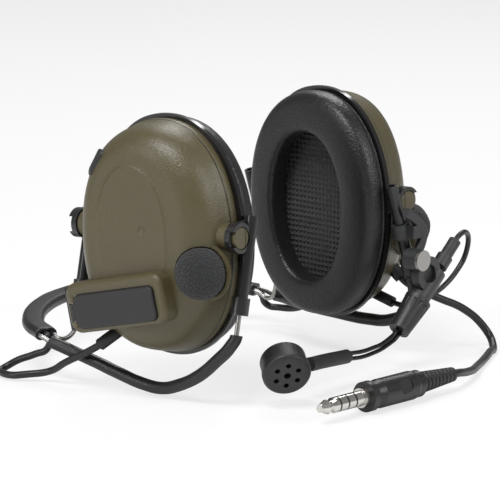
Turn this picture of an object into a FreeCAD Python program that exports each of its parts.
import FreeCAD, Part
import math
import os
from FreeCAD import Matrix, Vector

# Behind-the-neck communications headset: two hearing-protection cups carried
# on spring wires, a boom microphone on the wearer's left cup, and a downlead
# with a four-contact jack plug.
# Working frame: X to the wearer's right, Y forward, Z up, millimetres.
# A cup is drawn in its own frame (x outward, y forward, z up, origin on the
# pivot axis), then placed on the right side, or mirrored to the left.

os.makedirs("parts", exist_ok=True)

ORIGIN = Vector(8.13, 1.622, 75.81)  # shift of every saved piece: base centre at origin
X_AXIS = Vector(1, 0, 0)
Y_AXIS = Vector(0, 1, 0)
Z_AXIS = Vector(0, 0, 1)

CUP_OUT = 62.3                       # pivot origin of a cup from the mid plane
TOE_DEG = 3.5                        # cups face slightly inward
PITCH_DEG = 2.5                      # front of each cup slightly raised

LINK_R = 1.7                         # crossover cable
LINK_BORE = 1.8
LEAD_R = 1.9                         # downlead
MIC_LEAD_R = 1.3
WIRE_R = 1.1                         # spring wires


# ---------------------------------------------------------- placing and saving
def cup_matrix():
    matrix = Matrix()
    matrix.rotateX(math.radians(PITCH_DEG))
    matrix.rotateZ(math.radians(TOE_DEG))
    matrix.move(Vector(CUP_OUT, 0, 0))
    return matrix


CUP = cup_matrix()


def moved(shape, matrix):
    result = shape.copy()
    result.transformShape(matrix, True)
    return result


def on_right(shape):
    return moved(shape, CUP)


def on_left(shape):
    return on_right(shape).mirror(Vector(), X_AXIS)


def right_point(point):
    return CUP.multVec(Vector(*point))


def left_point(point):
    right = right_point(point)
    return Vector(-right.x, right.y, right.z)


def direction(side, vector):
    """a cup frame direction in the working frame; side is right_point or left_point"""
    return side(vector) - side((0, 0, 0))


def save(name, shape):
    placed = shape.copy()
    placed.translate(ORIGIN)
    placed.exportStep("parts/%s.step" % name)


# --------------------------------------------------------------- solid helpers
def group(shapes):
    return Part.makeCompound([solid for shape in shapes for solid in shape.Solids])


def largest(shape):
    return max(shape.Solids, key=lambda solid: solid.Volume)


def cut_all(shape, tools):
    for tool in tools:
        shape = shape.cut(tool)
    return shape


def fillet_or_keep(shape, radius, edges):
    # Guards against a rim the kernel can't round: the piece then keeps its sharp edge.
    try:
        return shape.makeFillet(radius, edges)
    except Exception:
        return shape


def edges_at(shape, axis, value):
    """edges whose ends all lie at one value of the x, y or z coordinate"""
    return [edge for edge in shape.Edges
            if all(abs(getattr(v.Point, axis) - value) < 1e-6 for v in edge.Vertexes)]


def cylinder(radius, start, along, length):
    return Part.makeCylinder(radius, length, Vector(*start), Vector(*along))


def cylinder_between(radius, start, end):
    axis = Vector(*end) - Vector(*start)
    return cylinder(radius, start, axis, axis.Length)


def cone(start_r, end_r, start, along, length):
    return Part.makeCone(start_r, end_r, length, Vector(*start), Vector(*along))


def sphere(radius, centre):
    return Part.makeSphere(radius, Vector(*centre))


def box(size, corner):
    return Part.makeBox(*size, Vector(*corner))


def frame_matrix(origin, ex, ey, ez):
    return Matrix(ex[0], ey[0], ez[0], origin[0],
                  ex[1], ey[1], ez[1], origin[1],
                  ex[2], ey[2], ez[2], origin[2],
                  0, 0, 0, 1)


def oval_wire(x, centre, half_axes, power=2.15, count=36, lean=0.0):
    """closed superellipse in a plane of constant x; lean adds lean * y to x"""
    points = []
    for i in range(count):
        angle = 2 * math.pi * i / count
        cos, sin = math.cos(angle), math.sin(angle)
        y = centre[0] + half_axes[0] * math.copysign(abs(cos) ** (2 / power), cos)
        z = centre[1] + half_axes[1] * math.copysign(abs(sin) ** (2 / power), sin)
        points.append(Vector(x + lean * y, y, z))
    curve = Part.BSplineCurve()
    curve.interpolate(Points=points, PeriodicFlag=True)
    return Part.Wire(curve.toShape())


def oval_prism(x_start, x_end, centre, half_axes):
    face = Part.Face(oval_wire(x_start, centre, half_axes))
    return face.extrude(Vector(x_end - x_start, 0, 0))


def rounded_rect_prism(width, height, radius, depth):
    """width along X, height along Y, centred; extruded +Z by depth"""
    x, y = width / 2, height / 2
    radius = min(radius, x - 0.01, y - 0.01)
    inset = radius * (1 - math.sqrt(0.5))

    def line(start, end):
        return Part.makeLine(Vector(*start), Vector(*end))

    def arc(start, middle, end):
        return Part.Arc(Vector(*start), Vector(*middle), Vector(*end)).toShape()

    edges = [
        line((-x + radius, -y), (x - radius, -y)),
        arc((x - radius, -y), (x - inset, -y + inset), (x, -y + radius)),
        line((x, -y + radius), (x, y - radius)),
        arc((x, y - radius), (x - inset, y - inset), (x - radius, y)),
        line((x - radius, y), (-x + radius, y)),
        arc((-x + radius, y), (-x + inset, y - inset), (-x, y - radius)),
        line((-x, y - radius), (-x, -y + radius)),
        arc((-x, -y + radius), (-x + inset, -y + inset), (-x + radius, -y)),
    ]
    return Part.Face(Part.Wire(edges)).extrude(Vector(0, 0, depth))


def rounded_rect_profile(width, height, radius, matrix):
    prism = rounded_rect_prism(width, height, radius, 0.5)
    bottom = min(prism.Faces, key=lambda face: face.CenterOfMass.z)
    return moved(bottom.OuterWire, matrix)


# ---------------------------------------------------------- tangent arc sweeps
# A knot is (point, unit tangent). A run is a chain of (start, start tangent,
# end) segments, each a circular arc or a straight line.
def knots(points, first_tangent=None, last_tangent=None):
    """inner tangents are those of the circle through each three neighbours"""
    points = [Vector(*p) for p in points]
    result = []
    for i, point in enumerate(points):
        if i == 0:
            tangent = points[1] - point if first_tangent is None else Vector(*first_tangent)
        elif i == len(points) - 1:
            tangent = point - points[i - 1] if last_tangent is None else Vector(*last_tangent)
        else:
            before, after = point - points[i - 1], points[i + 1] - point
            tangent = (before * (after.Length / before.Length)
                       + after * (before.Length / after.Length))
        tangent.normalize()
        result.append((point, tangent))
    return result


def arcs(path):
    """run of tangent arcs through the knots, two per span"""
    run = []
    for (start, leave), (end, arrive) in zip(path[:-1], path[1:]):
        span = end - start
        bend = 1.0 - leave.dot(arrive)
        along = span.dot(leave + arrive)
        square = span.dot(span)
        reach = square / (along + math.sqrt(along * along + 2.0 * bend * square))
        corner_in, corner_out = start + leave * reach, end - arrive * reach
        middle = (corner_in + corner_out) * 0.5
        run.append((start, leave, middle))
        run.append((middle, (corner_out - corner_in).normalize(), end))
    return run


def straight(start, end):
    return (start, (end - start).normalize(), end)


def arc_of(start, tangent, end):
    """centre, axis and angle in degrees of a segment; None if it is straight"""
    chord = end - start
    along = chord.dot(tangent)
    across = chord - tangent * along
    if across.Length < 1e-5:
        return None
    normal = Vector(across).normalize()
    radius = chord.dot(chord) / (2.0 * chord.dot(normal))
    angle = math.degrees(2.0 * math.atan2(across.Length, along))
    return start + normal * radius, tangent.cross(normal), angle


def turned(vector, arc):
    """a vector carried along a segment"""
    if arc is None:
        return Vector(vector)
    return FreeCAD.Rotation(arc[1], arc[2]).multVec(vector)


def reversed_run(run):
    return [(end, turned(tangent, arc_of(start, tangent, end)) * -1.0, start)
            for start, tangent, end in reversed(run)]


def offset_run(run, offset):
    """the run shifted sideways by a vector that turns with it"""
    result = []
    for start, tangent, end in run:
        shifted = start + offset
        offset = turned(offset, arc_of(start, tangent, end))
        result.append((shifted, tangent, end + offset))
    return result


def sweep(run, profiles):
    """solid along the run: the first profile is the outside, the others are bores"""
    faces, ends = [], []
    for profile in profiles:
        wire = profile.copy()
        for start, tangent, end in run:
            arc = arc_of(start, tangent, end)
            if arc is None:
                faces += wire.extrude(end - start).Faces
                wire = wire.copy()
                wire.translate(end - start)
            else:
                faces += wire.revolve(*arc).Faces
                wire = wire.copy()
                wire.rotate(*arc)
        ends.append(wire)
    for wires in ([profile.copy() for profile in profiles], ends):
        faces += Part.makeFace(wires, "Part::FaceMakerBullseye").Faces
    shell = Part.makeShell(faces)
    shell.sewShape()
    solid = Part.Solid(shell if shell.ShapeType == "Shell" else shell.Shells[0])
    if solid.Volume < 0:
        solid.reverse()
    return solid


def ring(run, radius, offset=Vector()):
    start, tangent, _ = run[0]
    return Part.Wire(Part.makeCircle(radius, start + offset, tangent))


def rod(run, radius):
    return sweep(run, [ring(run, radius)])


# ------------------------------------------------------------------- cup shell
OVAL_C = (2.5, -3.0)                 # y, z centre of the cushion, flange and shell ovals
SHELL_OVAL = (39.4, 54.0)            # half axes
WALL = 2.2
TOP_DROP = 2.4                       # cavity held back from the outer face

# x station, inset of the oval
SECTIONS = [(-7.0, 0.0), (-1.0, 0.6), (5.0, 1.8), (10.0, 3.4), (14.0, 6.0),
            (17.0, 9.6), (18.4, 13.8), (18.9, 20.5)]

PIVOT_FRONT, PIVOT_REAR = 44.3, 42.7     # outer ends of the pivot bosses
BOSS_R = 6.2
PIN_R = 3.0

FOAM_C = (12.8, 35.2, -15.2)         # microphone windscreen ball
FOAM_R = 12.0
CRADLE_R = FOAM_R + 2.2
CAPSULE_START = (FOAM_C[0] - 13.2, FOAM_C[1], FOAM_C[2])

DOOR_C = (-4.8, -32.2)               # y, z of the battery door centre
DOOR_ANGLE = 10.6

# Blocks in the door frame: span along the door, span up, span outward, corner radius
TUB = ((-30, 28.5), (-10, 13.5), (8.0, 25.4), 6.0)
TUB_CLEARANCE = ((-25.6, 25.4), (-8.4, 8.4), (11.6, 26), 1.5)
BATTERY_BAY = ((-23.4, 23.4), (-6.3, 6.3), (13.4, 27.5), 1.2)
DOOR_RECESS = ((-24.0, 24.2), (-8.25, 8.25), (24.6, 28.5), 3.2)
HINGE_NOTCH = ((-27.9, -23.0), (-4.3, 4.3), (22.9, 28.5), 0.4)
DOOR = ((-23.8, 23.9), (-8.0, 8.0), (24.85, 27.0), 3.0)
DOOR_TONGUE = ((-25.6, -22.8), (-3.9, 3.9), (24.85, 26.6), 0.2)
BEZEL = ((-31.3, -28.6), (-8.6, 12.0), (12.4, 23.2), 2.5)

HINGE_ALONG, HINGE_OUT = -25.6, 25.2     # hinge axis in the door frame

# keypad buttons on the rear end of the tub: name, centre up the door frame
BUTTONS = [("button_mode", -5.2), ("button_minus", 1.7), ("button_plus", 8.6)]
BUTTON_SIZE = (4.6, 5.4, 7.4)
BUTTON_FACE = -32.6                  # along the door frame
BUTTON_LOW = 14.1                    # inner side, outward in the door frame
BUTTON_GAP = 0.1

GLAND_R = 2.9
GLAND_ROOT, GLAND_TIP = (11.0, -15.0, -46.0), (13.4, -25.5, -53.6)
DOWN_EXIT, DOWN_WAY = (9.6, 34.6, -39.5), (0.30, 0.62, -0.72)    # downlead, left cup
LEAD_EXIT, LEAD_WAY = (12.4, 26.0, -53.0), (0.05, 0.96, -0.28)   # boom lead, left cup

# left cup grommets: radius, tip, direction, length
GROMMETS = [(3.2, DOWN_EXIT, DOWN_WAY, 12.0), (2.6, LEAD_EXIT, LEAD_WAY, 18.0)]

DOOR_COS = math.cos(math.radians(DOOR_ANGLE))
DOOR_SIN = math.sin(math.radians(DOOR_ANGLE))
DOOR_FRAME = frame_matrix((0, *DOOR_C), (0, DOOR_COS, DOOR_SIN), (0, -DOOR_SIN, DOOR_COS), X_AXIS)


def in_door(shape):
    """door frame (x along the door, y up, z outward) to cup frame"""
    return moved(shape, DOOR_FRAME)


def slab(along, up, out, radius):
    block = rounded_rect_prism(along[1] - along[0], up[1] - up[0], radius, out[1] - out[0])
    block.translate(Vector((along[0] + along[1]) / 2, (up[0] + up[1]) / 2, out[0]))
    return block


def shell_loft(offset=0.0, top_drop=0.0):
    wires = []
    for x, inset in SECTIONS:
        rise = max(0.0, (x + 1.0) / 20.0)
        centre = (OVAL_C[0] - 0.12 * inset, OVAL_C[1] + 0.05 * inset)
        half_axes = [half - inset - offset for half in SHELL_OVAL]
        wires.append(oval_wire(x - top_drop * rise, centre, half_axes,
                               power=2.2, lean=-0.055 * rise))
    return Part.makeLoft(wires, True, False)


def battery_tub():
    tub = slab(*TUB)
    return in_door(fillet_or_keep(tub, 2.4, edges_at(tub, "z", TUB[2][1])))


def foam_cradle():
    return sphere(CRADLE_R, FOAM_C).common(box((14.0, 60, 60), (-5.5, 10, -45)))


def shell_cavity():
    """inside of the shell, kept clear of the tub, the bosses and the foam cradle"""
    keep = [in_door(slab(*TUB_CLEARANCE)),
            cylinder(BOSS_R, (0, 32.0, 0), Y_AXIS, 20),
            cylinder(BOSS_R, (0, -30.0, 0), -Y_AXIS, 20),
            sphere(CRADLE_R, FOAM_C)]
    return largest(cut_all(shell_loft(WALL, TOP_DROP), keep))


def door_pin():
    return in_door(cylinder(0.8, (HINGE_ALONG, -6.8, HINGE_OUT), Y_AXIS, 13.6))


def side_plug():
    """rubber plug in the upper rear of the outer face"""
    plug = rounded_rect_prism(14.0, 5.6, 2.6, 4.0)
    long_way = Vector(0, 9.0, 13.5).normalize()
    outward = Vector(1, -0.62, 0.42).normalize()
    short_way = outward.cross(long_way).normalize()
    outward = long_way.cross(short_way).normalize()
    return moved(plug, frame_matrix((13.6, -19.5, 31.0), long_way, short_way, outward))


def button_holes(depth):
    """openings round the keypad buttons, in the door frame"""
    width, height = BUTTON_SIZE[1] + 2 * BUTTON_GAP, BUTTON_SIZE[2] + 2 * BUTTON_GAP
    return [box((depth, width, height), (-35, centre - width / 2, BUTTON_LOW - BUTTON_GAP))
            for _, centre in BUTTONS]


def cup_shell(keypad):
    bosses = [cylinder(BOSS_R, (0, 30, 0), Y_AXIS, PIVOT_FRONT - 30),
              cylinder(BOSS_R, (0, -28, 0), -Y_AXIS, PIVOT_REAR - 28)]
    body = shell_loft().fuse([battery_tub(), *bosses, foam_cradle()]).removeSplitter()
    body = cut_all(body, [shell_cavity()]
                   + [in_door(slab(*block)) for block in (BATTERY_BAY, DOOR_RECESS, HINGE_NOTCH)])
    body = body.fuse([in_door(cylinder(1.55, (HINGE_ALONG, up, HINGE_OUT), Y_AXIS, 2.6))
                      for up in (4.4, -7.0)])
    tools = [door_pin(),
             sphere(FOAM_R + 0.35, FOAM_C),                       # foam pocket
             cylinder(3.0, CAPSULE_START, X_AXIS, 9.2),           # capsule seat
             sphere(4.0, (21.9, 6.4, 3.1)),                       # thumb dimple
             cylinder(PIN_R, (0, 38.0, 0), Y_AXIS, 10),           # pivot sockets
             cylinder(PIN_R, (0, -37.0, 0), -Y_AXIS, 10),
             side_plug()]
    if keypad:
        tools.append(in_door(slab(*BEZEL)))
        tools += [in_door(hole) for hole in button_holes(8)]
    tools.append(cylinder_between(GLAND_R, GLAND_ROOT, GLAND_TIP))
    return largest(cut_all(body, tools))


def keypad_bezel():
    return in_door(cut_all(slab(*BEZEL), button_holes(9)))


def button(centre):
    key = box(BUTTON_SIZE, (BUTTON_FACE, centre - BUTTON_SIZE[1] / 2, BUTTON_LOW))
    return in_door(fillet_or_keep(key, 1.0, edges_at(key, "x", BUTTON_FACE)))


def crossover_gland():
    """gland under the rear of the cup"""
    gland = cylinder_between(GLAND_R, GLAND_ROOT, GLAND_TIP)
    return gland.cut(cylinder_between(LINK_R + 0.2, (12.1, -20.0, -49.6), (14.0, -28.0, -55.4)))


def grommet(radius, tip, way, length):
    """stub seated on the outside of the cup, ending at tip"""
    tip = Vector(*tip)
    reach = Vector(*way).normalize() * length
    stub = cylinder(radius, tip - reach, reach, length)
    stub = cut_all(stub, [shell_loft(), battery_tub(), foam_cradle()])
    return min(stub.Solids, key=lambda solid: (solid.CenterOfMass - tip).Length)


# ---------------------------------------------------------------- cup contents
CUSHION_X0, CUSHION_X1 = -21.5, -9.5
FLANGE_X1 = -7.0
FLANGE_OVAL = (42.1, 56.0)           # half axes
CUSHION_OVAL = (41.3, 54.6)
OPEN_C = (0.5, -4.2)                 # y, z centre of the ear opening
OPEN_OVAL = (22.0, 35.2)
FLANGE_OPEN_OVAL = (26.5, 39.5)
LINER_OVAL = (26.2, 39.2)
SPEAKER_Y, SPEAKER_Z = 0.5, -6.0
BATTERY_R, BATTERY_L = 5.25, 44.5
BATTERY_OUT = 19.0                   # axis, outward in the door frame
TERMINAL_R, TERMINAL_L = 1.9, 1.2
CAP_R = 5.1                          # pivot button head


def mic_windscreen():
    return sphere(FOAM_R, FOAM_C).cut(cylinder(3.1, CAPSULE_START, X_AXIS, 9.4))


def battery_door():
    """lid with one hinge knuckle at its rear end"""
    door = slab(*DOOR)
    door = fillet_or_keep(door, 0.9, edges_at(door, "z", DOOR[2][1]))
    door = door.fuse(slab(*DOOR_TONGUE))
    door = door.fuse(cylinder(1.6, (HINGE_ALONG, -3.9, HINGE_OUT), Y_AXIS, 7.8))
    bore = cylinder(0.87, (HINGE_ALONG, -10, HINGE_OUT), Y_AXIS, 20)
    return in_door(door.cut(bore).removeSplitter())


def battery():
    start = -BATTERY_L / 2
    can_l = BATTERY_L - TERMINAL_L
    can = cylinder(BATTERY_R, (start, 0, BATTERY_OUT), X_AXIS, can_l)
    terminal = cylinder(TERMINAL_R, (start + can_l, 0, BATTERY_OUT), X_AXIS, TERMINAL_L)
    return in_door(can.fuse(terminal).removeSplitter())


def seal_flange():
    flange = oval_prism(CUSHION_X1, FLANGE_X1, OVAL_C, FLANGE_OVAL)
    return flange.cut(oval_prism(CUSHION_X1 - 1, FLANGE_X1 + 1, OPEN_C, FLANGE_OPEN_OVAL))


def ear_cushion():
    cushion = oval_prism(CUSHION_X0, CUSHION_X1, OVAL_C, CUSHION_OVAL)
    cushion = cushion.cut(oval_prism(CUSHION_X0 - 1, CUSHION_X1 + 1, OPEN_C, OPEN_OVAL))
    rims = [edge for edge in cushion.Edges
            if abs(edge.BoundBox.XMin - CUSHION_X0) < 0.05
            and abs(edge.BoundBox.XMax - CUSHION_X0) < 0.05]
    return fillet_or_keep(cushion, 4.0, rims)


def speaker():
    frame = cylinder(17.5, (-6.2, SPEAKER_Y, SPEAKER_Z), X_AXIS, 3.0)
    magnet = cylinder(11.0, (-3.2, SPEAKER_Y, SPEAKER_Z), X_AXIS, 5.0)
    return frame.fuse(magnet).removeSplitter()


def circuit_board():
    board = oval_prism(3.4, 5.0, (0.5, -3.0), (25.0, 38.0))
    return board.cut(cylinder(14.4, (3.0, FOAM_C[1], FOAM_C[2]), X_AXIS, 3))


def pivot_buttons():
    """pin and rounded head at each end of the pivot axis"""
    head_t = 1.9
    head_gap = 3.35
    buttons = []
    for sign, boss_end, depth in ((1, PIVOT_FRONT, 6.3), (-1, PIVOT_REAR, 5.7)):
        outward = (0, sign, 0)
        pin = cylinder(PIN_R, (0, sign * (boss_end - depth), 0), outward, depth + 3.4)
        head = cylinder(CAP_R, (0, sign * (boss_end + head_gap), 0), outward, head_t)
        face = boss_end + head_gap + head_t
        rim = [edge for edge in head.Edges
               if abs(abs(edge.BoundBox.YMin + edge.BoundBox.YMax) / 2 - face) < 0.02]
        head = fillet_or_keep(head, 0.8, rim)
        buttons.append(pin.fuse(head).removeSplitter())
    return group(buttons)


COMMON_PARTS = {
    "mic_windscreen": mic_windscreen(),
    "mic_capsule": cylinder(2.95, CAPSULE_START, X_AXIS, 9.1),
    "battery_door": battery_door(),
    "door_pin": door_pin(),
    "battery": battery(),
    "side_plug": side_plug(),
    "seal_flange": seal_flange(),
    "ear_cushion": ear_cushion(),
    "foam_liner": oval_prism(-9.2, -6.4, OPEN_C, LINER_OVAL),
    "speaker": speaker(),
    "circuit_board": circuit_board(),
    "pivot_buttons": pivot_buttons(),
}
for name, shape in COMMON_PARTS.items():
    save("right_" + name, on_right(shape))
    save("left_" + name, on_left(shape))

save("right_cup_shell", on_right(cup_shell(keypad=True)))
save("left_cup_shell", on_left(cup_shell(keypad=False)))
save("right_keypad_bezel", on_right(keypad_bezel()))
for name, centre in BUTTONS:
    save("right_" + name, on_right(button(centre)))
save("right_cable_gland", on_right(group([crossover_gland()])))
save("left_cable_gland", on_left(group([crossover_gland()] + [grommet(*g) for g in GROMMETS])))

# ----------------------------------------------------------------------- yokes
TUBE_TOP = (-9.9, 8.5)               # x, z of the guide tube axis ends, cup frame
TUBE_BOT = (2.1, -35.0)
TUBE_OUT = 3.7                       # tube axis beyond the boss end
TUBE_R = 2.9
COLLAR_R, COLLAR_L = 4.1, 8.0
HUB_R, HUB_T = 7.0, 2.9
HUB_GAP = 0.35                       # boss end to hub
CLIP_T = 1.9                         # slotted ring on the outer face of the hub
WIRE_BORE = 1.16


def yoke(boss_end):
    """pivot hub, guide tube and lower collar, drawn for the front boss"""
    tube_y = boss_end + TUBE_OUT
    hub_y = boss_end + HUB_GAP
    clip_y = hub_y + HUB_T
    top = Vector(TUBE_TOP[0], tube_y, TUBE_TOP[1])
    bottom = Vector(TUBE_BOT[0], tube_y, TUBE_BOT[1])
    down = (bottom - top).normalize()
    guide = cylinder(TUBE_R, top, down, (bottom - top).Length)
    collar = cylinder(COLLAR_R, bottom - down * COLLAR_L, down, COLLAR_L)
    collar = collar.cut(box((40, 6, 80), (-20, tube_y - TUBE_R - 6, -50)))
    hub = cylinder(HUB_R, (0, hub_y, 0), Y_AXIS, HUB_T)
    web = box((8.5, HUB_T, 12.0), (-9.0, hub_y, -5.0))
    clip = cylinder(HUB_R, (0, clip_y, 0), Y_AXIS, CLIP_T)
    clip = clip.cut(box((30, 6, 7.2), (-1.0, boss_end + 2, -3.6)))
    body = guide.fuse([collar, hub, web, clip]).removeSplitter()
    return largest(cut_all(body, [
        cylinder(PIN_R + 0.07, (0, boss_end - 1, 0), Y_AXIS, 9),
        cylinder(CAP_R + 0.14, (0, clip_y, 0), Y_AXIS, 6),
        cylinder(WIRE_BORE, top - down * 5, down, 70),
        cylinder(WIRE_BORE + 0.5, top - down * 0.2, down, 1.2)]))


front_yoke = yoke(PIVOT_FRONT)
rear_yoke = yoke(PIVOT_REAR).mirror(Vector(), Y_AXIS)
save("right_front_yoke", on_right(front_yoke))
save("right_rear_yoke", on_right(rear_yoke))
save("left_front_yoke", on_left(front_yoke))
save("left_rear_yoke", on_left(rear_yoke))

# -------------------------------------------------------------------- neckband
TUBE_Y_FRONT = PIVOT_FRONT + TUBE_OUT
TUBE_Y_REAR = -(PIVOT_REAR + TUBE_OUT)
SLEEVE_R = 2.9
SLEEVE_BORE = WIRE_R + 0.1
BAND_W, BAND_T, BAND_CORNER = 10.6, 5.6, 2.6
WIRE_OFFSET = 3.3                    # each wire from the band centre line
WIRE_TOP_RIGHT, WIRE_TOP_LEFT = -4.0, -1.0       # z of the wire ends in the tubes

# band centre line, from the right mouth round the nape to the left mouth
BAND = [(75.6, -58.9, -55.6), (70.4, -71.6, -54.2), (60.0, -82.6, -53.2),
        (39.3, -95.4, -52.2), (13.0, -103.4, -52.2), (-13.0, -103.4, -52.6),
        (-39.3, -95.4, -53.8), (-60.0, -83.0, -56.0), (-70.6, -72.2, -57.8),
        (-76.0, -61.5, -59.2)]
BAND_START_WAY = (-0.42, -0.90, 0.11)
BAND_END_WAY = (-0.36, 0.92, -0.10)

# front sleeves below the guide tubes, cup frame
RIGHT_SLEEVE_MOUTH = -43.8           # z on the tube axis
RIGHT_SLEEVE = [(6.6, 45.3, -49.6), (7.6, 39.2, -55.4), (8.0, 31.0, -62.0),
                (8.0, 19.8, -68.0), (8.0, 4.9, -71.9), (8.5, -6.6, -70.5),
                (9.0, -19.3, -67.0), (10.0, -32.1, -62.9), (11.2, -46.3, -58.7),
                (12.4, -56.6, -55.6)]
RIGHT_SLEEVE_END_WAY = (0.06, -0.965, 0.255)
LEFT_SLEEVE_MOUTH = -35.9
LEFT_SLEEVE = [(4.6, 47.2, -42.6), (7.0, 43.4, -50.4), (9.2, 35.6, -57.6),
               (10.0, 24.6, -61.6), (10.2, 9.0, -62.6), (10.4, -10.0, -61.8),
               (11.0, -32.0, -60.4), (13.4, -54.6, -58.6)]
LEFT_SLEEVE_END_WAY = (0.05, -0.998, 0.06)

# rear wire between guide tube and band, cup frame
RIGHT_REAR_MOUTH, LEFT_REAR_MOUTH = -46.0, -47.0     # z on the tube axis
RIGHT_REAR = [(6.5, -48.2, -51.6), (7.4, -52.6, -54.7)]
LEFT_REAR = [(8.8, -54.6, -59.4), (6.6, -48.4, -54.6)]

# crossover cable beyond each band mouth: working frame, then cup frame
LOOP_RIGHT = [(75.7, -56.5, -58.4), (76.0, -57.8, -62.2), (79.2, -63.8, -65.6),
              (82.6, -70.6, -68.6), (84.8, -75.2, -71.6), (89.2, -75.8, -73.2),
              (92.2, -71.0, -73.3), (92.2, -65.0, -73.3), (89.2, -59.0, -72.5)]
GLAND_RUN_RIGHT = [(18.0, -54.0, -68.4), (17.6, -42.6, -62.6), (15.6, -33.0, -57.9),
                   (13.3, -25.2, -53.3)]
LOOP_LEFT = [(-76.9, -58.7, -61.6), (-78.5, -58.0, -65.6), (-82.8, -49.0, -67.8)]
GLAND_RUN_LEFT = [(18.0, -38.0, -62.0), (15.6, -32.6, -58.4), (13.3, -25.2, -53.3)]


def tube_point(z, y):
    """point of the guide tube axis at height z, cup frame"""
    share = (z - TUBE_BOT[1]) / (TUBE_TOP[1] - TUBE_BOT[1])
    return Vector(TUBE_BOT[0] + share * (TUBE_TOP[0] - TUBE_BOT[0]), y, z)


def placed(side, points):
    return [side(point) for point in points]


tube_way = Vector(TUBE_BOT[0] - TUBE_TOP[0], 0, TUBE_BOT[1] - TUBE_TOP[1]).normalize()
tube_way_right = direction(right_point, tube_way)
tube_way_left = direction(left_point, tube_way)

band_knots = knots(BAND, BAND_START_WAY, BAND_END_WAY)
band_run = arcs(band_knots)
band_start, band_start_way = band_knots[0]
band_end_way = band_knots[-1][1]
band_inward = band_start_way.cross(Z_AXIS).normalize()     # toward the neck, at the start
outer_offset = band_inward * -WIRE_OFFSET
inner_offset = band_inward * WIRE_OFFSET
outer_run = offset_run(band_run, outer_offset)
inner_run = offset_run(band_run, inner_offset)

right_sleeve_knots = knots(
    placed(right_point, [tube_point(RIGHT_SLEEVE_MOUTH, TUBE_Y_FRONT)] + RIGHT_SLEEVE),
    tube_way_right, direction(right_point, RIGHT_SLEEVE_END_WAY))
left_sleeve_knots = knots(
    placed(left_point, [tube_point(LEFT_SLEEVE_MOUTH, TUBE_Y_FRONT)] + LEFT_SLEEVE),
    tube_way_left, direction(left_point, LEFT_SLEEVE_END_WAY))
right_sleeve_run = arcs(right_sleeve_knots)
left_sleeve_run = arcs(left_sleeve_knots)


def front_wire():
    """right tube, right sleeve, outer bore of the band, left sleeve, left tube"""
    top_right = right_point(tube_point(WIRE_TOP_RIGHT, TUBE_Y_FRONT))
    top_left = left_point(tube_point(WIRE_TOP_LEFT, TUBE_Y_FRONT))
    left_end, left_end_way = left_sleeve_knots[-1]
    to_band = [right_sleeve_knots[-1], (outer_run[0][0], band_start_way)]
    from_band = [(outer_run[-1][2], band_end_way), (left_end, left_end_way * -1)]
    run = ([straight(top_right, right_sleeve_knots[0][0])] + right_sleeve_run
           + arcs(to_band) + outer_run + arcs(from_band)
           + reversed_run(left_sleeve_run) + [straight(left_sleeve_knots[0][0], top_left)])
    return rod(run, WIRE_R)


def rear_wire():
    """right tube, inner bore of the band, left tube"""
    top_right = right_point(tube_point(WIRE_TOP_RIGHT, TUBE_Y_REAR))
    top_left = left_point(tube_point(WIRE_TOP_LEFT, TUBE_Y_REAR))
    mouth_right = right_point(tube_point(RIGHT_REAR_MOUTH, TUBE_Y_REAR))
    mouth_left = left_point(tube_point(LEFT_REAR_MOUTH, TUBE_Y_REAR))
    to_band = knots([mouth_right] + placed(right_point, RIGHT_REAR) + [inner_run[0][0]],
                    tube_way_right, band_start_way)
    from_band = knots([inner_run[-1][2]] + placed(left_point, LEFT_REAR) + [mouth_left],
                      band_end_way, tube_way_left * -1)
    run = ([straight(top_right, mouth_right)] + arcs(to_band) + inner_run
           + arcs(from_band) + [straight(mouth_left, top_left)])
    return rod(run, WIRE_R)


def front_sleeve(run):
    return sweep(run, [ring(run, SLEEVE_R), ring(run, SLEEVE_BORE)])


def neckband_cover():
    """flat band with a bore for each wire and one for the crossover cable"""
    upright = band_inward.cross(band_start_way).normalize()
    frame = frame_matrix(band_start, band_inward, upright, band_inward.cross(upright))
    return sweep(band_run, [rounded_rect_profile(BAND_W, BAND_T, BAND_CORNER, frame),
                            ring(band_run, SLEEVE_BORE, outer_offset),
                            ring(band_run, SLEEVE_BORE, inner_offset),
                            ring(band_run, LINK_BORE)])


def crossover_cable():
    """through the band, looping out at each mouth to the gland of its cup"""
    into_gland = (Vector(*GLAND_ROOT) - Vector(*GLAND_TIP)).normalize()
    right_end = knots([BAND[0]] + LOOP_RIGHT + placed(right_point, GLAND_RUN_RIGHT),
                      band_start_way * -1, direction(right_point, into_gland))
    left_end = knots([BAND[-1]] + LOOP_LEFT + placed(left_point, GLAND_RUN_LEFT),
                     band_end_way, direction(left_point, into_gland))
    return rod(reversed_run(arcs(right_end)) + band_run + arcs(left_end), LINK_R)


save("front_wire", front_wire())
save("rear_wire", rear_wire())
save("right_front_sleeve", front_sleeve(right_sleeve_run))
save("left_front_sleeve", front_sleeve(left_sleeve_run))
save("neckband_cover", neckband_cover())
save("crossover_cable", crossover_cable())

# ------------------------------------------------------------- microphone boom
ROD_WAY = Vector(0.751, 0, -0.659).normalize()     # along the rods, toward the microphone
ROD_ACROSS = Vector(-ROD_WAY.z, 0, ROD_WAY.x)      # across the rods, toward the pivot screw
ROD_START = Vector(-83.8, 58.2, -19.4)             # rear end of the rod sleeve
ROD_OFFSET = 1.35                                  # each rod from the boom axis
ROD_R = 1.0
ROD_BORE = 1.06

BRACKET_Y, BRACKET_T = 54.0, 3.0
BRACKET_EYE_R = 5.0
SCREW_R = 2.05
SCREW_HEAD_R, SCREW_HEAD_T = 3.3, 1.2              # sunk in the rear face of the bracket
SWIVEL_Y0, SWIVEL_Y1 = BRACKET_Y + BRACKET_T + 0.05, 61.6
SCREW_CAP_Y = SWIVEL_Y1 + 0.05

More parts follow.
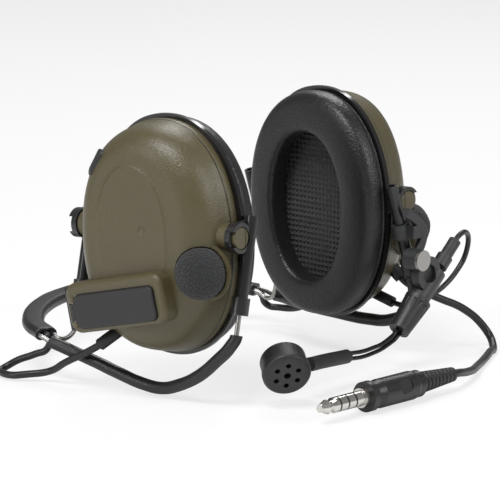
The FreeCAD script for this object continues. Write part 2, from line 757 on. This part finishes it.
COLLET_S, COLLET_L = 36.25, 19.4                   # station along the rods, length
COLLET_R0, COLLET_R1 = 4.2, 3.2
NUT_SLOTS = 12
NUT_SLOT_OUT = 6.9                                 # slot axes from the boom axis

STEM_JOINT = Vector(4.2, 61.6, -60.6)              # middle of the rods' front ends
STEM_WAY = Vector(0.975, 0.17, 0.08).normalize()
STEM_R = 3.3
MIC_C = Vector(48.5, 66.0, -57.5)
MIC_WAY = Vector(0.54, 0.73, -0.43).normalize()    # from housing to cover


def boom_point(along, across):
    return ROD_START + ROD_WAY * along + ROD_ACROSS * across


PIVOT = boom_point(25.4, 16.4)
SWIVEL_RING = boom_point(25.4, 6.6)


def along_y(radius, centre, y, length):
    """cylinder along Y through the x and z of centre"""
    return cylinder(radius, (centre.x, y, centre.z), Y_AXIS, length)


def screw_head():
    return along_y(SCREW_HEAD_R, PIVOT, BRACKET_Y, SCREW_HEAD_T)


def boom_bracket():
    """arm from a clamp on the left front guide tube to the pivot eye"""
    path = [(-50.0, -1.2), (-57.6, -6.0), (-62.6, -11.8), (-61.0, -18.2), (PIVOT.x, PIVOT.z)]
    run = arcs(knots([(x, BRACKET_Y + BRACKET_T / 2, z) for x, z in path]))
    start, tangent, _ = run[0]
    across = tangent.cross(Y_AXIS).normalize()
    frame = frame_matrix(start, across, Y_AXIS, across.cross(Y_AXIS))
    arm = sweep(run, [rounded_rect_profile(5.0, BRACKET_T, 1.1, frame)])
    eye = along_y(BRACKET_EYE_R, PIVOT, BRACKET_Y, BRACKET_T)
    grip = left_point(tube_point(-13.4, TUBE_Y_FRONT))
    clamp = cylinder(4.6, grip - tube_way_left * 3.5, tube_way_left, 7.0)
    post = box((7.6, 6.4, 6.2), (grip.x - 6.2, 50.4, grip.z - 3.1))
    bracket = arm.fuse([eye, clamp, post]).removeSplitter()
    return largest(cut_all(bracket, [
        cylinder(TUBE_R + 0.03, grip - tube_way_left * 15, tube_way_left, 30),
        on_left(box((60, 8, 80), (-30, PIVOT_FRONT + 0.6 - 8, -50))),   # clears the cup
        along_y(SCREW_R, PIVOT, 45, 20),
        screw_head()]))


def boom_pivot_screw():
    screw = along_y(SCREW_R, PIVOT, BRACKET_Y, SCREW_CAP_Y - BRACKET_Y)
    screw = screw.fuse(screw_head())
    return screw.fuse(along_y(5.0, PIVOT, SCREW_CAP_Y, 1.6)).removeSplitter()


def cut_rods(shape, start, end, radius):
    return cut_all(shape, [cylinder(radius, boom_point(start, side * ROD_OFFSET),
                                    ROD_WAY, end - start) for side in (-1, 1)])


def boom_swivel():
    """recessed round body, lug on the pivot screw and barrel round the rods"""
    depth = SWIVEL_Y1 - SWIVEL_Y0
    body = along_y(8.2, SWIVEL_RING, SWIVEL_Y0, depth)
    lug = along_y(5.0, PIVOT, SWIVEL_Y0, depth)
    frame = frame_matrix((SWIVEL_RING.x, SWIVEL_Y0, SWIVEL_RING.z),
                         ROD_ACROSS, Y_AXIS, ROD_ACROSS.cross(Y_AXIS))
    bar = moved(box((10, depth, 8.4), (0, 0, -4.2)), frame)
    barrel = cylinder(5.0, boom_point(19.2, 0), ROD_WAY, 17.0)
    body = body.fuse([lug, bar, barrel]).removeSplitter()
    body = body.cut(along_y(2.11, PIVOT, 50, 20))
    body = body.cut(along_y(4.4, SWIVEL_RING, SWIVEL_Y1 - 1.6, 3.0))
    return largest(cut_rods(body, 10, 40, ROD_BORE))


def boom_collet():
    collet = cone(COLLET_R0, COLLET_R1, boom_point(COLLET_S, 0), ROD_WAY, COLLET_L)
    return largest(cut_rods(collet, 30, 60, ROD_BORE))


def boom_nut():
    """slotted clamping nut over the collet"""
    gap = 0.07
    nut = cone(6.6, 5.0, boom_point(36.9, 0), ROD_WAY, 19.0)
    tools = [cone(COLLET_R0 + gap, COLLET_R1 + gap, boom_point(COLLET_S, 0), ROD_WAY, COLLET_L),
             cylinder(3.26, boom_point(30, 0), ROD_WAY, 30)]
    for i in range(NUT_SLOTS):
        angle = 2 * math.pi * i / NUT_SLOTS
        out = (ROD_ACROSS * (math.cos(angle) * NUT_SLOT_OUT)
               + Y_AXIS * (math.sin(angle) * NUT_SLOT_OUT))
        tools.append(cylinder(1.0, boom_point(39.2, 0) + out, ROD_WAY, 15.0))
    return largest(cut_all(nut, tools))


def boom_rod(side):
    """straight through the clamp, then bending level toward the microphone"""
    start = boom_point(6.0, side * ROD_OFFSET)
    bend = boom_point(57.0, side * ROD_OFFSET)
    curve = knots([bend, (-31.6, 58.5, -60.9 + side * 1.2), (-19.0, 59.3, -62.3 + side * 1.3),
                   STEM_JOINT + Z_AXIS * (side * 1.3)], ROD_WAY, STEM_WAY)
    return rod([straight(start, bend)] + arcs(curve), ROD_R)


def boom_rear_sleeve():
    """stepped sleeve on the rear ends of both rods"""
    sleeve = cylinder(3.0, boom_point(0, 0), ROD_WAY, 11.0)
    sleeve = sleeve.fuse(cylinder(3.9, boom_point(10.0, 0), ROD_WAY, 6.2)).removeSplitter()
    return cut_rods(sleeve, 6.0, 30, ROD_R)


def stem_solid():
    """uncut stem between the rods and the microphone"""
    path = [STEM_JOINT - STEM_WAY * 5.0, (20.0, 63.6, -59.3), (31.0, 65.0, -58.6)]
    return rod(arcs(knots(path, STEM_WAY, (0.98, 0.15, 0.10))), STEM_R)


MIC_UP = (Z_AXIS - MIC_WAY * Z_AXIS.dot(MIC_WAY)).normalize()
MIC_SIDE = MIC_UP.cross(MIC_WAY).normalize()


def mic_point(side, up, out):
    return MIC_C + MIC_SIDE * side + MIC_UP * up + MIC_WAY * out


def mic_housing():
    house = cylinder(10.6, mic_point(0, 0, -6.5), MIC_WAY, 7.5)
    back = cone(7.4, 10.6, mic_point(0, 0, -8.9), MIC_WAY, 2.4)
    return largest(house.fuse(back).removeSplitter().cut(stem_solid()))


def mic_cover():
    """hollowed disc with a central hole and six round it"""
    base, thick = 1.05, 3.8
    hole_out = 5.6
    cover = cylinder(11.2, mic_point(0, 0, base), MIC_WAY, thick)
    face_c = mic_point(0, 0, base + thick)
    rim = [edge for edge in cover.Edges
           if edge.Curve.TypeId == "Part::GeomCircle"
           and (edge.Curve.Center - face_c).Length < 1e-3]
    cover = fillet_or_keep(cover, 1.8, rim)
    tools = [cylinder(8.9, mic_point(0, 0, 1.0), MIC_WAY, 1.6),
             cylinder(1.6, mic_point(0, 0, 0), MIC_WAY, 8)]
    for i in range(6):
        angle = math.radians(30 + 60 * i)
        start = mic_point(hole_out * math.cos(angle), hole_out * math.sin(angle), 0)
        tools.append(cylinder(1.25, start, MIC_WAY, 8))
    return cut_all(cover, tools)


def boom_lead():
    """from the rear sleeve, looping back under the left cup"""
    path = [boom_point(-0.1, 0), (-92.6, 57.0, -16.6), (-98.6, 54.6, -20.6),
            (-98.8, 53.0, -28.6), (-92.0, 51.6, -37.8), (-83.4, 50.6, -43.4),
            (-76.4, 49.6, -46.0), (-72.8, 44.6, -49.6), (-72.6, 37.4, -52.0),
            left_point(LEAD_EXIT)]
    into_cup = direction(left_point, LEAD_WAY) * -1
    return rod(arcs(knots(path, ROD_WAY * -1, into_cup)), MIC_LEAD_R)


boom_rods = [boom_rod(side) for side in (-1, 1)]
save("boom_bracket", boom_bracket())
save("boom_pivot_screw", boom_pivot_screw())
save("boom_swivel", boom_swivel())
save("boom_collet", boom_collet())
save("boom_nut", boom_nut())
save("boom_rods", group(boom_rods))
save("boom_rear_sleeve", boom_rear_sleeve())
save("mic_stem", largest(cut_all(stem_solid(), boom_rods)))
save("mic_housing", mic_housing())
save("mic_cover", mic_cover())
save("boom_lead", boom_lead())

# ----------------------------------------------------------- downlead and plug
TABLE_Z = -75.19
PLUG_WAY = Vector(0.9993, -0.0370, 0).normalize()
PLUG_TAIL = Vector(-28.6, 100.8, TABLE_Z + 7.05)
RELIEF_R0, RELIEF_R1, RELIEF_L = 3.4, 5.2, 24.6
BODY_START = 24.7                    # stations along the plug from its tail
SHOULDER = 60.5                      # front face of the plug body
CORE_START = 44.0
JACK_R = 3.57
CORE_R = 1.9

# stacked lengths: length, start radius, end radius
BODY_STACK = [(5.0, 5.4, 6.7), (22.0, 6.7, 6.7), (5.2, 6.7, 5.6), (3.6, 7.0, 7.0)]
TIP_STACK = [(1.8, JACK_R, JACK_R), (1.4, JACK_R, 2.5), (1.4, 2.5, 2.5),
             (1.3, 2.5, 3.35), (3.4, 3.35, 1.9), (1.0, 1.9, 1.9)]

# start and end beyond the shoulder
RING_SPANS = [(9.1, 13.2), (14.3, 18.4)]
INSULATOR_SPANS = [(8.0, 9.1), (13.2, 14.3), (18.4, 19.5)]


def plug_point(station):
    return PLUG_TAIL + PLUG_WAY * station


def plug_cylinder(radius, station, length):
    return cylinder(radius, plug_point(station), PLUG_WAY, length)


def fuse_stack(shape, station, stack):
    for length, start_r, end_r in stack:
        if start_r == end_r:
            piece = plug_cylinder(start_r, station, length)
        else:
            piece = cone(start_r, end_r, plug_point(station), PLUG_WAY, length)
        shape = shape.fuse(piece)
        station += length
    return shape


def downlead_cable():
    path = [left_point(DOWN_EXIT), (-76.4, 42.4, -44.4), (-84.6, 47.2, -48.8),
            (-97.4, 53.0, -55.6), (-105.6, 56.2, -62.6), (-108.6, 60.4, -69.4),
            (-104.0, 66.4, -73.2), (-92.0, 73.4, -73.29), (-69.0, 85.0, -73.2),
            (-46.0, 96.8, -70.6), plug_point(0.0)]
    return rod(arcs(knots(path, direction(left_point, DOWN_WAY), PLUG_WAY)), LEAD_R)


def plug_relief():
    """tapered strain relief with eight grooves"""
    relief = cone(RELIEF_R0, RELIEF_R1, plug_point(0.05), PLUG_WAY, RELIEF_L)
    for i in range(8):
        station = 1.8 + 2.8 * i
        radius = RELIEF_R0 + (RELIEF_R1 - RELIEF_R0) * station / RELIEF_L
        groove = plug_cylinder(9, station, 1.2)
        relief = relief.cut(groove.cut(plug_cylinder(radius - 0.75, station - 0.1, 1.4)))
    return relief


def plug_body():
    body = fuse_stack(plug_cylinder(6.3, BODY_START, 26.0), BODY_START, BODY_STACK)
    dimple_way = Vector(0.1, 0.94, 0.34)
    body = body.cut(cylinder(4.2, plug_point(38) + dimple_way * 5.9, dimple_way, 9.0))
    body = body.cut(plug_cylinder(3.2, 34, 60))
    return largest(body.removeSplitter())


def plug_sleeve_contact():
    shank = plug_cylinder(3.15, 38.5, 22.0)
    collar = plug_cylinder(4.5, SHOULDER, 3.0)
    barrel = plug_cylinder(JACK_R, SHOULDER + 3.0, 5.0)
    contact = shank.fuse([collar, barrel]).removeSplitter()
    return contact.cut(plug_cylinder(CORE_R, CORE_START, 40))


def plug_rings(spans):
    return group([plug_cylinder(JACK_R, SHOULDER + start, end - start).cut(
        plug_cylinder(CORE_R, SHOULDER + start - 1, end - start + 2)) for start, end in spans])


def plug_tip_contact():
    core = plug_cylinder(CORE_R - 0.02, CORE_START, 36.0)
    tip_start = SHOULDER + INSULATOR_SPANS[-1][1]
    return fuse_stack(core, tip_start, TIP_STACK).removeSplitter()


save("downlead_cable", downlead_cable())
save("plug_relief", plug_relief())
save("plug_body", plug_body())
save("plug_sleeve_contact", plug_sleeve_contact())
save("plug_ring_contacts", plug_rings(RING_SPANS))
save("plug_insulators", plug_rings(INSULATOR_SPANS))
save("plug_tip_contact", plug_tip_contact())
